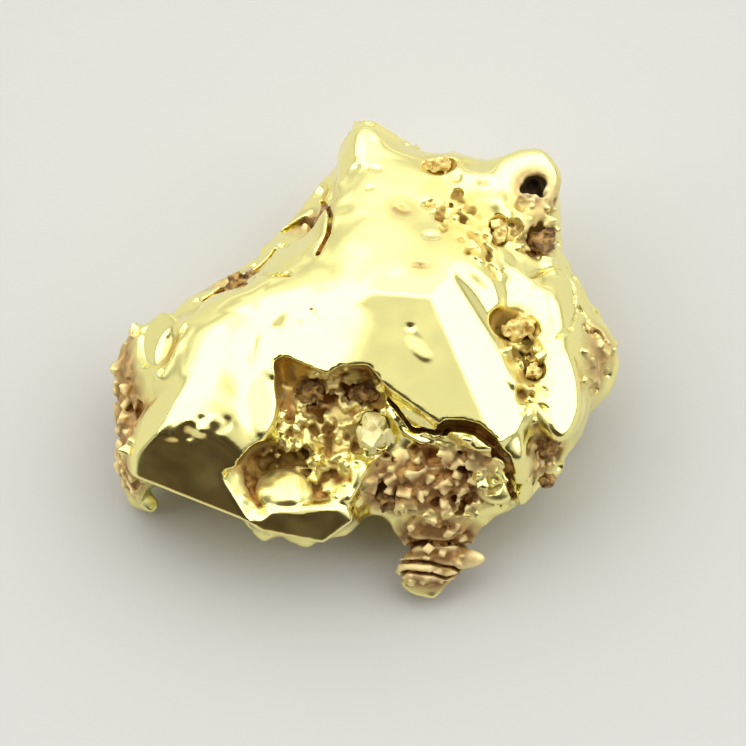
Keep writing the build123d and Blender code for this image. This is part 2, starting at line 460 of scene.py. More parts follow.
# ------------------------------ the gold's form ------------------------------
BURNISHED = [
    # centre, reach: broad places that are worn smoothest
    ((-3.3, -0.9, 4.2), (1.7, 1.9, 1.2)),
    ((0.9, 1.4, 4.6), (2.6, 2.2, 1.2)),
    ((4.6, -0.6, 4.0), (0.8, 2.2, 1.0)),
    ((0.5, 3.4, 4.2), (1.4, 1.6, 1.0)),
    ((-1.6, 0.6, 4.4), (1.5, 1.2, 1.0)),
    ((-2.2, -0.7, 4.3), (1.0, 1.0, 0.8)),
]
KEEN_WEAR = 0.1
BURNISHED_WEAR = 0.26
SWELL_SIZE = 1.1
KNOCK_SIZE = 0.34
WEATHERING_SEED = 5


def gold_base():
    """The CAD form with its flat triangles worn smooth, most of all on the broad burnished places."""
    clay = Clay(["gold_mass"], GOLD_VOXEL)
    clay.field = np.minimum(clay.field, clay.node_field(ALL_GRAINS))
    keen = clay.blurred(clay.field, KEEN_WEAR)
    worn = clay.blurred(keen, BURNISHED_WEAR)
    _, points = clay.window(*EVERYWHERE)
    smoothness = np.zeros(clay.field.shape, np.float32)
    for centre, reach in BURNISHED:
        gap = np.linalg.norm((points - np.array(centre)) / np.array(reach), axis=-1)
        smoothness = np.maximum(smoothness, np.clip(2.0 - 1.6 * gap, 0, 1).astype(np.float32))
    rng = np.random.default_rng(WEATHERING_SEED)
    swells = soft_noise(clay.field.shape, SWELL_SIZE / clay.voxel, rng)
    knocks = soft_noise(clay.field.shape, KNOCK_SIZE / clay.voxel, rng)
    weathering = swells * (0.02 + 0.13 * (1 - smoothness)) + knocks * (0.004 + 0.05 * (1 - smoothness))
    clay.field = keen + (worn - keen) * smoothness + weathering
    return clay


def flanks(clay):
    """Dents of all sizes round the sides and underside, as if worn by tumbling in gravel."""
    north_and_sides = ((0, 1.9, 1.4), (8, 5, 2), None)
    south_underside = ((-1.5, -2.6, 0.4), (3.4, 2.2, 0.9), None)
    southeast = ((4.2, -2.6, 1.1), (2.2, 1.7, 1.4), None)
    pocks(clay, north_and_sides, 55, (0.4, 1.1), 0.13, 31)
    pocks(clay, north_and_sides, 150, (0.16, 0.38), 0.3, 32)
    pocks(clay, north_and_sides, 200, (0.06, 0.14), 0.7, 33)
    pocks(clay, south_underside, 60, (0.12, 0.4), 0.3, 34)
    pocks(clay, southeast, 12, (0.35, 0.8), 0.15, 39)
    pocks(clay, southeast, 45, (0.07, 0.3), 0.4, 40)


# The flat faces of the gold, each a point on the face and its outward direction.
DOME_TOP = ((1.0, -0.6, 4.82), (-0.047, -0.245, 1))
DOME_EAST = ((2.0, -0.9, 4.79), (0.367, -0.06, 1))
DOME_NORTH = ((0.7, 0.42, 5.06), (0, 0.27, 1))
DOME_WEST = ((-0.75, -0.4, 4.79), (-0.4, -0.1, 1))
DOME_LIP = ((1.55, -2.5, 4.3), (-0.57, -0.8, 0.0))
DOME_GLINT = ((1.14, -0.78, 4.785), (-0.02, -0.17, 1))
DOME_FOOT = ((3.35, -2.9, 4.2), (0.45, -0.3, 0.84))
DOME_POCKET_SIDE = ((3.0, -1.0, 4.48), (0.6, 0.16, 0.78))
WEST_FRONT_FACE = ((-4.2, -2.6, 3.88), (-0.35, -0.85, 1))
WEST_FRONT_WALL = ((-3.5, -4.15, 2.8), (-0.386, -0.922, -0.38))
WEST_FRONT_EAST = ((-3.21, -3.86, 3.16), (0.72, -0.1, 1))
WEST_CREST_SIDE = ((-5.3, -2.7, 3.3), (-0.74, 0.17, 0.6))
WEST_SIDE_FACET = ((-4.85, -0.05, 3.25), (-1.28, 0.2, 1.49))
CUP_FRONT_FACE = ((-1.5, -4.45, 2.9), (-0.1, -1.0, 1))
CUP_RIGHT_FACE = ((-0.7, -4.2, 2.93), (0.2, -0.95, 1))
CUP_FRONT_WALL = ((-1.2, -4.82, 2.5), (-0.2, -0.93, -0.38))
CUP_RIGHT_WALL = ((-0.6, -4.5, 2.55), (0.6, -0.75, -0.3))
CUP_LEVEL = ((-1.4, -4.4, 3.0), (0, 0.05, 1))
BEAD_TOP = ((-1.97, -3.66, 3.06), (-0.06, 0.04, 1))
BEAD_EAST = ((-1.6, -3.66, 3.0), (0.5, 0.1, 1))
BEAD_WEST = ((-2.3, -3.5, 3.0), (-0.4, 0.5, 1))
SADDLE_TOP = ((-2.0, -0.3, 4.39), (-0.2, -0.12, 1))
CAVITY_SHOULDER = ((-2.5, -1.5, 4.15), (0.12, -0.18, 1))
LIMB_TOP = ((4.3, -1.5, 4.05), (0.33, -0.05, 1))
HORN_TOP = ((3.8, 3.65, 3.95), (0.12, -0.04, 1))


def dome(clay):
    """The tilted flat crest of the nugget, the bright band east of it and the slopes round it."""
    slopes = [DOME_TOP, DOME_EAST, DOME_NORTH, DOME_WEST]
    body = faceted(slopes + [DOME_LIP, DOME_FOOT, DOME_POCKET_SIDE], 0.05)
    clay.mould(body, (1.35, -0.85, 4.7), (2.1, 2.1, 0.9), 0.5)
    clay.mould(faceted(slopes, 0.3), (-0.9, -0.6, 4.5), (1.35, 1.15, 0.7), 0.4)
    pit(clay, 0.95, -0.38, (0.14, 0.11, 0.2), 0.03, blend=0.06)
    clay.mould(body, (2.4, -2.2, 4.25), (1.15, 1.05, 0.6), 0.2)
    along_glint = turned(0, 0, -48)
    clay.mould(faceted([DOME_GLINT]), (1.14, -0.78, 4.75), (0.42, 0.17, 0.25), 0.12, along_glint)


def west_lobe(clay):
    """A long smooth swelling, cut off in front by a steep flat face."""
    swelling = ellipsoid((-3.4, -0.5, 1.92), (3.0, 4.5, 2.4))
    faces = faceted([WEST_FRONT_FACE, WEST_FRONT_WALL, WEST_CREST_SIDE], 0.06)
    clay.mould(common(0.05, swelling, faces), (-3.95, -3.1, 2.9), (1.8, 1.95, 2.2), 0.6)
    foot = rod([(-5.6, -2.6, 0.6, 0.25), (-5.4, -3.0, 0.55, 0.28), (-5.1, -3.2, 0.5, 0.2)])
    clay.add(foot, 0.2)
    clay.mould(faceted([WEST_SIDE_FACET]), (-4.9, -0.05, 3.2), (0.55, 0.75, 0.6), 0.15)
    beside_cup = faceted([WEST_FRONT_FACE, WEST_FRONT_EAST, WEST_FRONT_WALL], 0.06)
    clay.mould(beside_cup, (-2.95, -3.85, 3.0), (0.5, 0.85, 0.6), 0.2, turned(0, 0, 25))
    rumple(clay, ((-4.1, -2.5, 3.9), (1.3, 0.35, 0.4), turned(0, 0, 6)), 0.3, 0.07, 41)
    rumple(clay, ((-4.1, -3.3, 3.2), (1.3, 0.8, 0.9), None), 0.5, 0.02, 42)


def cup(clay):
    """A hollow at the front with a round bead in it, a thin rim and a narrow steep face below the rim."""
    front = faceted([CUP_FRONT_FACE, CUP_RIGHT_FACE, CUP_FRONT_WALL, CUP_RIGHT_WALL, CUP_LEVEL], 0.04)
    clay.mould(front, (-1.45, -4.5, 2.4), (1.3, 0.65, 1.05), 0.4)
    clay.cut(ellipsoid((-2.15, -3.4, 3.4), (0.98, 0.82, 0.78)), 0.05)
    rumple(clay, ((-2.1, -3.3, 2.9), (1.1, 0.9, 0.6), None), 0.25, 0.07, 43)
    rumple(clay, ((-0.85, -3.35, 3.0), (0.7, 0.65, 0.5), None), 0.3, 0.12, 45)
    rim = [(-2.95, -3.9), (-2.5, -4.1), (-1.9, -4.2), (-1.1, -4.1), (-0.5, -3.85)]
    ridge(clay, rim, 0.2, 0.02, blend=0.06)
    ridge(clay, [(-0.5, -3.85), (-0.3, -3.5), (-0.3, -3.1)], 0.26, 0.08, blend=0.1)


def front_wall(clay):
    """Dents along the foot of the front, below the steep faces."""
    foot = ((-2.6, -4.2, 0.9), (3.2, 1.3, 1.1), None)
    pocks(clay, foot, 14, (0.4, 0.9), 0.12, 35)
    pocks(clay, foot, 30, (0.08, 0.26), 0.4, 36)


def bead(clay):
    """The round bead of gold in the cup."""
    egg = ellipsoid((-1.97, -3.66, 2.66), (0.72, 0.56, 0.58), turned(0, 0, -8))
    facets = faceted([BEAD_TOP, BEAD_EAST, BEAD_WEST], 0.05)
    clay.add(common(0.12, egg, facets), 0.02)
    rumple(clay, ((-1.97, -3.66, 2.9), (0.75, 0.6, 0.5), None), 0.22, 0.03, 44)


def ledge_lump(clay):
    """The bright lump of gold, with a few crystal faces, where the apron meets the end of the crack."""
    x, y = 2.95, -3.5
    clay.add(ellipsoid((x, y, clay.top(x, y) - 0.12), (0.5, 0.46, 0.3), turned(0, 0, -35)), 0.1)
    crystals(clay, ((x, y, clay.top(x, y)), (0.45, 0.45, 0.4), None), 9, (0.2, 0.4), 48, cut_share=0.2)
    rumple(clay, ((x, y, clay.top(x, y)), (0.6, 0.6, 0.5), None), 0.2, 0.06, 46)


CAVITY_ROOF_EDGE = [
    (-1.7, -2.5), (-1.85, -1.9), (-1.92, -1.25), (-1.55, -1.42), (-0.91, -1.73), (-0.56, -1.48),
    (-0.09, -1.46), (0.2, -1.85),
]
CAVITY_ROOF_TOP = 4.65
CAVITY_ROOF_STEP = 0.1
CAVITY_ROOF_STEPS = 13
CAVITY_OVERHANG = 0.2
CUP_SIDE_GAP = [(-2.45, -2.95), (-1.95, -2.85), (-1.4, -2.95), (-1.15, -3.1)]


def cavity(clay):
    """The rough hollow in the middle, under an overhanging roof."""
    clay.mould(faceted([SADDLE_TOP]), (-2.15, -0.85, 4.2), (0.6, 0.6, 0.5), 0.3)
    clay.mould(faceted([CAVITY_SHOULDER]), (-2.5, -1.85, 3.9), (0.45, 0.9, 0.5), 0.3)
    for step in range(CAVITY_ROOF_STEPS + 1):
        under = CAVITY_OVERHANG * math.sin(math.pi * step / CAVITY_ROOF_STEPS)
        z = CAVITY_ROOF_TOP - CAVITY_ROOF_STEP * step
        clay.cut(rod([(x - 0.4 * under, y + under, z, 0.22) for x, y in CAVITY_ROOF_EDGE]), 0.03)
    clay.cut(rod([(x, y, clay.top(x, y) - 0.05, 0.17) for x, y in CUP_SIDE_GAP]), 0.05)


CRACK_END = [(2.85, -2.98), (3.2, -3.25), (3.3, -3.6), (3.5, -4.05)]


def lip_crack(clay):
    """The long crack between the dome's lip and the apron below it."""
    lip = [(0.45, -1.95), (0.8, -2.4), (1.2, -2.65), (1.75, -2.8), (2.35, -2.95)]
    ridge(clay, lip, 0.14, 0.1, blend=0.05)
    crack(clay, [(0.45, -1.75), (0.8, -2.22), (1.1, -2.45), (1.7, -2.6)], 0.13, 0.5, lean=(0.1, 0.2))
    crack(clay, [(1.7, -2.6), (2.2, -2.62), (2.5, -2.7), (2.85, -2.98)], 0.3, 0.9, lean=(0.1, 0.25))
    crack(clay, CRACK_END, 0.22, 0.8, lean=(0.05, 0.05))


def northwest_grooves(clay):
    """Cracks and a shallow dent along the north-west side."""
    crack(clay, [(-1.95, 3.05), (-1.5, 3.25), (-1.15, 2.95)], 0.2, 0.45)
    crack(clay, [(-1.1, 3.7), (-1.0, 3.2), (-0.9, 2.75), (-0.95, 2.25), (-1.2, 1.7)], 0.12, 0.22)
    crack(clay, [(-2.2, 2.35), (-2.5, 1.92), (-3.0, 1.6), (-3.85, 1.0)], 0.15, 0.25)
    crack(clay, [(-2.6, 1.45), (-2.2, 1.25), (-1.85, 1.17)], 0.09, 0.12)
    crack(clay, [(-4.25, 0.1), (-4.55, -0.4), (-4.85, -1.0)], 0.08, 0.1)
    pit(clay, -4.85, -0.35, (0.35, 0.6, 0.4), 0.08, turn=-25, blend=0.08)


PLATEAU_DENTS = [
    # x, y, two plan radii, depth, degrees turned
    (-0.35, 4.03, 0.14, 0.07, 0.08, 20),
    (0.1, 3.98, 0.2, 0.08, 0.08, -20),
    (0.0, 3.4, 0.08, 0.06, 0.06, 0),
    (1.65, 4.18, 0.42, 0.3, 0.25, -15),
    (2.02, 3.71, 0.16, 0.2, 0.12, 20),
    (0.77, 2.8, 0.2, 0.13, 0.14, -30),
    (1.43, 3.0, 0.18, 0.12, 0.16, 25),
    (1.72, 2.87, 0.14, 0.16, 0.15, 0),
    (2.13, 3.03, 0.14, 0.24, 0.2, 25),
    (2.25, 2.58, 0.2, 0.14, 0.14, -25),
    (1.48, 2.06, 0.2, 0.1, 0.06, 0),
    (1.2, 1.17, 0.28, 0.06, 0.07, -4),
    (2.48, 2.1, 0.16, 0.2, 0.15, 30),
    (2.77, 1.69, 0.14, 0.22, 0.16, 30),
    (2.98, 1.15, 0.12, 0.18, 0.16, 20),
    (-1.38, 0.11, 0.16, 0.11, 0.03, 20),
    (-1.66, -0.1, 0.12, 0.1, 0.03, 0),
    (-1.2, -0.08, 0.1, 0.1, 0.03, 0),
]


def north_plateau(clay):
    """Small dents and open pits around the north plateau, and the deep pit in the horn at its east end."""
    for x, y, radius_x, radius_y, depth, turn in PLATEAU_DENTS:
        pit(clay, x, y, (radius_x, radius_y, max(depth, 0.14)), 0.6 * depth, turn, blend=0.07)
    clay.mould(faceted([HORN_TOP]), (3.75, 3.65, 3.85), (0.8, 0.75, 0.6), 0.6)
    pit(clay, 3.87, 3.54, (0.33, 0.27, 0.6), 0.5, turn=35, blend=0.08)
    rumple(clay, ((3.88, 3.53, 3.7), (0.45, 0.42, 0.5), None), 0.2, 0.07, 47)
    pocks(clay, ((3.9, 3.48, 3.75), (0.3, 0.28, 0.4), None), 8, (0.1, 0.2), 0.7, 49)


NORTHEAST_PITS = [
    # x, y, radius, depth
    (3.42, 2.53, 0.16, 0.2),
    (3.19, 2.23, 0.13, 0.2),
    (3.66, 2.24, 0.2, 0.25),
    (4.05, 2.12, 0.22, 0.25),
    (4.29, 2.3, 0.13, 0.2),
    (4.13, 2.65, 0.12, 0.15),
]


def northeast_pits(clay):
    """The pitted patch below the horn, the chain of pits west of it and two fine cracks south of it."""
    for x, y, size, depth in NORTHEAST_PITS:
        pit(clay, x, y, (size, size * 0.85, 0.25), depth)
    pocks(clay, ((2.4, 2.2, 4.3), (0.75, 1.3, 0.5), turned(0, 0, 25)), 26, (0.07, 0.15), 0.7, 37)
    pocks(clay, ((3.8, 2.5, 3.7), (0.8, 0.8, 0.7), None), 22, (0.08, 0.18), 0.7, 38)
    crack(clay, [(4.9, 0.75), (5.3, 0.25), (5.65, -0.05)], 0.08, 0.1)
    round_the_block = [
        (3.77, 1.27), (4.2, 1.59), (4.52, 1.72), (4.78, 1.31), (4.85, 0.6), (4.71, -0.03), (4.38, -0.32),
    ]
    crack(clay, round_the_block, 0.08, 0.08)


EAST_BLOCK_PITS = [
    # x, y, radius, depth
    (5.34, 0.19, 0.2, 0.2),
    (5.37, -1.1, 0.15, 0.2),
    (5.6, -0.6, 0.12, 0.12),
]


def east_pocket(clay):
    """The chain of hollows east of the bright band, the limb beside them and the pits on the east block."""
    clay.mould(faceted([LIMB_TOP]), (4.45, -1.7, 3.8), (0.5, 1.1, 0.6), 0.3)
    pit(clay, 3.35, 0.0, (0.55, 0.45, 0.5), 0.3, blend=0.08)
    pit(clay, 3.65, -0.6, (0.4, 0.4, 0.4), 0.2, blend=0.08)
    pit(clay, 3.75, -1.2, (0.35, 0.4, 0.4), 0.16, blend=0.08)
    pit(clay, 3.7, -1.8, (0.3, 0.4, 0.3), 0.12, blend=0.08)
    pit(clay, 4.0, -2.03, (0.2, 0.07, 0.12), 0.1, turn=-20)
    for x, y, size, depth in EAST_BLOCK_PITS:
        pit(clay, x, y, (size, size * 0.8, 0.25), depth)
    pit(clay, 4.25, -2.75, (0.5, 0.32, 0.45), 0.35, turn=-25, blend=0.05)
    pit(clay, 4.1, -3.3, (0.38, 0.2, 0.4), 0.3, turn=30, blend=0.05)


def grain_mouths(clay):
    """Opens the gold above each grain that is lodged in it."""
    for node in ALL_GRAINS:
        low, high = node_corners(node)
        size = high - low
        raised = (low + high) / 2 + (0, 0, 0.3 * size[2])
        clay.cut(ellipsoid(raised, size * (0.62, 0.62, 0.7)), 0.05)


def tail(clay):
    """Three thin leaves of gold, one over another, round a short thick body, with a gap above them."""
    crack(clay, [(0.8, -4.48), (1.75, -4.55), (2.7, -4.4)], 0.16, 0.5, lean=(0, 0.2))
    clay.add(ellipsoid((1.25, -4.95, 0.9), (0.6, 0.38, 0.45)), 0.1)
    for centre, radii, tilt in (
            ((1.95, -4.78, 1.2), (0.78, 0.26, 0.14), (22, 5, 2)),
            ((1.55, -5.02, 0.95), (0.6, 0.22, 0.13), (24, -3, -6)),
            ((1.35, -5.2, 0.75), (0.58, 0.2, 0.14), (26, 4, 8))):
        clay.add(ellipsoid(centre, radii, turned(*tilt)), 0.03)


def late_gaps(clay):
    """Splits the tail's end into layers, and opens the end of the long crack again through the crystals."""
    crack(clay, CRACK_END, 0.2, 0.6)
    crack(clay, [(0.7, -4.86), (1.3, -4.93), (1.85, -5.0), (2.1, -5.02)], 0.09, 0.3, lean=(0, 0.15))
    crack(clay, [(0.65, -5.1), (1.2, -5.17), (1.8, -5.2), (2.2, -5.12)], 0.09, 0.25, lean=(0, 0.15))


ROUGH_PLACES = {
    # region, how many crystals, smallest and largest, seed
    "cavity floor": (((-0.9, -2.1, 3.15), (1.3, 0.95, 0.6), None), 130, (0.16, 0.45), 11),
    "cavity walls": (((-0.9, -1.5, 3.7), (1.35, 0.6, 0.6), None), 60, (0.08, 0.26), 12),
    "cup trough": (((-1.8, -2.95, 2.9), (1.0, 0.35, 0.4), None), 30, (0.1, 0.25), 23),
    "cup plateau": (((-0.85, -3.3, 3.0), (0.65, 0.6, 0.5), None), 40, (0.12, 0.34), 25),
    "cup": (((-2.2, -3.5, 2.8), (0.9, 0.7, 0.5), None), 20, (0.08, 0.18), 26),
    "ledge": (((2.4, -3.1, 3.5), (1.0, 0.35, 0.5), turned(0, 0, -15)), 45, (0.12, 0.32), 27),
    "apron": (((1.65, -3.4, 2.7), (1.7, 0.85, 0.75), None), 130, (0.18, 0.52), 13),
    "neck": (((1.6, -4.2, 1.9), (1.1, 0.5, 0.8), None), 50, (0.12, 0.34), 24),
    "tail": (((1.6, -5.0, 1.0), (1.0, 0.5, 0.6), None), 40, (0.08, 0.2), 14),
    "west wall": (((-5.55, -1.5, 1.9), (0.6, 2.2, 1.2), None), 90, (0.14, 0.45), 15),
    "north-east patch": (((3.9, 2.6, 3.6), (0.8, 0.85, 0.7), None), 60, (0.12, 0.32), 16),
    "pit chain": (((2.4, 2.1, 4.3), (0.7, 1.25, 0.4), turned(0, 0, 25)), 50, (0.1, 0.26), 17),
    "east pocket": (((3.5, -0.5, 3.9), (0.6, 0.9, 0.5), turned(0, 0, 10)), 50, (0.1, 0.28), 18),
    "east run": (((3.8, -1.7, 3.9), (0.35, 0.7, 0.4), None), 24, (0.08, 0.22), 19),
    "east block": (((5.4, -0.4, 3.1), (0.55, 1.0, 0.8), None), 34, (0.1, 0.28), 20),
    "south-east recess": (((4.15, -3.0, 3.0), (0.6, 0.6, 0.6), None), 50, (0.1, 0.28), 21),
    "north rim": (((0.5, 5.2, 2.9), (1.0, 0.5, 0.7), None), 30, (0.08, 0.22), 22),
}
RUST_PLACES = {
    # centre, radii, how strong: from about 0.9 the stain turns to the near-black of painted pit shade
    "horn pit": ((3.87, 3.48, 3.6), (0.54, 0.5, 0.7), 1.15),
    "plateau dent": ((0.77, 2.8, 4.4), (0.3, 0.22, 0.4), 0.45),
    "crest dent": ((1.2, 1.17, 4.9), (0.36, 0.14, 0.4), 0.55),
    "upper groove": ((-1.55, 3.15, 2.7), (0.5, 0.3, 0.5), 0.9),
    "curved groove": ((-1.0, 2.8, 3.6), (0.16, 1.1, 0.4), 0.5),
    "lower groove": ((-3.0, 1.6, 2.6), (1.0, 0.3, 0.5), 0.5),
    "apron's west end": ((0.5, -3.4, 2.5), (0.7, 0.7, 0.7), 0.9),
    "apron": ((1.6, -3.35, 2.6), (1.35, 0.8, 0.9), 0.9),
    "ledge": ((2.4, -3.1, 3.4), (0.9, 0.35, 0.5), 0.8),
    "neck and tail": ((1.6, -4.7, 1.4), (1.2, 0.9, 1.1), 0.92),
    "west wall": ((-5.6, -1.5, 1.8), (0.5, 2.1, 1.3), 0.8),
    "cup's west side": ((-2.7, -3.3, 2.9), (0.35, 0.5, 0.4), 0.7),
    "cup trough": ((-1.9, -2.9, 2.8), (0.8, 0.35, 0.4), 0.6),
    "cavity walls": ((-1.0, -1.5, 3.5), (1.3, 0.4, 0.7), 0.65),
    "cavity floor": ((-0.9, -2.2, 3.1), (1.1, 0.6, 0.5), 0.35),
    "north-east patch": ((3.9, 2.5, 3.5), (0.6, 0.6, 0.6), 0.6),
    "south-east recess": ((4.15, -2.9, 3.0), (0.5, 0.6, 0.6), 0.85),
    "east block": ((5.4, -0.4, 3.0), (0.5, 0.9, 0.7), 0.6),
}
AMBER_PLACES = {
    # centre, radii, how strong
    "pit chain": ((2.35, 2.2, 4.3), (0.7, 1.2, 0.6), 0.85),
    "plateau's east side": ((1.7, 3.4, 4.1), (0.5, 0.5, 0.5), 0.6),
    "summit pit": ((1.7, 4.1, 3.9), (0.55, 0.42, 0.4), 0.8),
    "north-east patch": ((3.6, 2.6, 3.8), (0.8, 0.8, 0.6), 0.6),
    "horn pit": ((3.89, 3.53, 3.6), (0.45, 0.4, 0.5), 0.8),
    "plateau dent": ((0.77, 2.8, 4.4), (0.35, 0.26, 0.4), 0.6),
    "crest dent": ((1.2, 1.17, 4.9), (0.4, 0.18, 0.4), 0.6),
    "east pocket": ((3.4, -0.3, 3.9), (0.65, 0.75, 0.6), 1.0),
    "east run": ((3.75, -1.3, 3.9), (0.45, 0.7, 0.5), 0.8),
    "cup trough": ((-1.8, -3.1, 2.8), (1.0, 0.5, 0.5), 0.7),
    "cavity floor": ((-0.9, -2.4, 3.1), (1.2, 0.6, 0.5), 0.4),
}
STAIN_FADE = 0.4
STAIN_CORE = 0.5  # at a region's edge the stain has half its strength
ROUGH_CORE = 0.6


def region_share(places, region, core):
    """1 well inside a region, the core's share at its edge and 0 further out."""
    return np.clip(core - ellipsoid(*region)[0](places) / STAIN_FADE, 0, 1)


def stain_share(places, stains):
    """How strongly each point is stained by the strongest stain there."""
    share = np.zeros(len(places))
    for centre, radii, strength in stains.values():
        share = np.maximum(share, strength * region_share(places, (centre, radii), STAIN_CORE))
    return share


def make_room(clay):
    """Keeps the gold clear of the grains, and further from the pale grain, which outgrows its CAD solid."""
    for nodes, gap in ((ALL_GRAINS, GRAIN_GAP), ([PALE_GRAIN], GRAIN_GAP + PALE_GRAIN_GROWTH)):
        clay.field = np.maximum(clay.field, gap - clay.node_field(nodes))


def gold_sculpt():
    """The whole shape of the gold, as clay."""
    clay = gold_base()
    for carve in (flanks, west_lobe, dome, cup, front_wall, cavity, lip_crack, northwest_grooves,
                  north_plateau, northeast_pits, east_pocket, tail, grain_mouths):
        carve(clay)
    for region, count, sizes, seed in ROUGH_PLACES.values():
        crystals(clay, region, count, sizes, seed)
    for carve in (bead, ledge_lump, late_gaps):
        carve(clay)
    _, points = clay.window(*EVERYWHERE)
    clay.field = np.maximum(clay.field, -points[..., 2])
    make_room(clay)
    return clay


def gold_piece():
    """The gold's mesh, with how hollow, rough and stained each of its points is."""
    clay = gold_sculpt()
    made, places = clay.mesh("nugget_gold")
    solid = (clay.field < 0).astype(np.float32)
    store(made, "recess", clay.sampled(clay.blurred(solid, 0.3), places))
    store(made, "crevice", clay.sampled(clay.blurred(solid, 0.12), places))
    rough = np.zeros(len(places))
    for region, *_ in ROUGH_PLACES.values():
        rough = np.maximum(rough, region_share(places, region, ROUGH_CORE))
    store(made, "rough", rough)
    store(made, "rust", stain_share(places, RUST_PLACES))
    store(made, "amber", stain_share(places, AMBER_PLACES))
    return made


# ------------------------------ grains ------------------------------
def grain_piece(node, seed, growth=0.0):
    """A lodged grain of host rock: its CAD solid broken up into small crystal faces."""
    clay = Clay([node], GRAIN_VOXEL)
    clay.field = clay.blurred(clay.field, 0.03) - growth
    low, high = node_corners(node)
    low, high = low - growth, high + growth
    size = (high - low).mean()
    all_round = ((low + high) / 2, (high - low) * 0.7, None)
    crystals(clay, all_round, 30, (0.18 * size, 0.5 * size), seed, cut_share=0.7, blend=0.01)
    rng = np.random.default_rng(seed)
    clay.field += 0.008 * soft_noise(clay.field.shape, 0.09 / clay.voxel, rng)
    made, _ = clay.mesh("rough_" + node)
    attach(made, "root")
    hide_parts(node)
    return made


# ------------------------------ materials ------------------------------
class Nodes:
    """Short ways of adding shader nodes to a material or world."""

    def __init__(self, tree):
        self.tree = tree

    def add(self, kind, inputs=(), output=0, **settings):
        """A new node with settings and inputs, given by name or number, and its chosen output."""
        node = self.tree.nodes.new("ShaderNode" + kind)
        for name, value in settings.items():
            setattr(node, name, value)
        for socket, value in dict(inputs).items():
            self.set(node.inputs[socket], value)
        return node.outputs[output]

    def set(self, socket, value):
        """Links a socket to another one, or gives it a constant."""
        if isinstance(value, bpy.types.NodeSocket):
            self.tree.links.new(value, socket)
        else:
            socket.default_value = value

    def maths(self, operation, a, b=0.0):
        return self.add("Math", {0: a, 1: b}, operation=operation)

    def ramp(self, value, low, high, start=0.0, end=1.0):
        """A value spread from low..high to start..end, with soft ends."""
        inputs = {"Value": value, "From Min": low, "From Max": high, "To Min": start, "To Max": end}
        return self.add("MapRange", inputs, interpolation_type="SMOOTHSTEP")

    def mix(self, share, a, b):
        """A colour between two colours."""
        node = self.tree.nodes.new("ShaderNodeMix")
        node.data_type = "RGBA"
        colours = [c for c in node.inputs if c.type == "RGBA"]
        self.set(node.inputs[0], share)
        for socket, value in zip(colours, (a, b)):
            self.set(socket, value)
        return [o for o in node.outputs if o.type == "RGBA"][0]

    def noise(self, size, detail=4.0, seed=0.0):
        """Noise with bumps of about that size in millimetres."""
        inputs = {"Vector": self.place(seed), "Scale": 1 / (size * MM), "Detail": detail}
        return self.add("TexNoise", inputs)

    def place(self, seed=0.0):
        """Where a point is in the piece, moved aside by the seed so that two noises differ."""
        node = self.tree.nodes.new("ShaderNodeTexCoord")
        if not seed:
            return node.outputs["Object"]
        return self.add("Mapping", {"Vector": node.outputs["Object"], "Location": (seed * MM, 0, 0)})

    def attribute(self, name):
        return self.add("Attribute", attribute_name=name, output=2)


def new_material(name):
    """A material, its nodes and its shader."""
    material = bpy.data.materials.new(name)
    material.use_nodes = True
    return material, Nodes(material.node_tree), material.node_tree.nodes["Principled BSDF"]


def add_bump(nodes, shader, height, strength, distance):
    """Fine relief, distance deep in millimetres."""
    bump = nodes.add("Bump", {"Height": height, "Strength": strength, "Distance": distance * MM})
    nodes.set(shader.inputs["Normal"], bump)


CLEAN_GOLD = (1.0, 0.93, 0.38, 1)
# painted shade: a deeper, darker gold for hollow skin, as light bounced between gold faces looks
HOLLOW_SHADE_GOLD = (0.9, 0.68, 0.2, 1)
# painted highlight: pale cream for the lit tops of crystals in the rusty places
PAINTED_HIGHLIGHT_CREAM = (1.0, 0.8, 0.4, 1)
# browns for stain in the rusty places and for painted shade in hollows and gaps
EARTH_STAIN_AND_SHADE = (0.2, 0.08, 0.014, 1)
TAN_STAIN_AND_SHADE = (0.58, 0.32, 0.09, 1)
AMBER_EARTH_AND_SHADE = (0.24, 0.16, 0.03, 1)
AMBER_STAIN = (0.72, 0.52, 0.13, 1)
# painted shade: near-black for the deep pit in the horn
PAINTED_PIT_SHADE = (0.075, 0.05, 0.022, 1)
AMBER_QUARTZ = ((0.96, 0.78, 0.3, 1), (0.55, 0.35, 0.07, 1))
PALE_QUARTZ = ((1.0, 0.94, 0.5, 1), (0.95, 0.82, 0.38, 1))
IRONSTONE = ((0.15, 0.075, 0.018, 1), (0.5, 0.3, 0.09, 1))


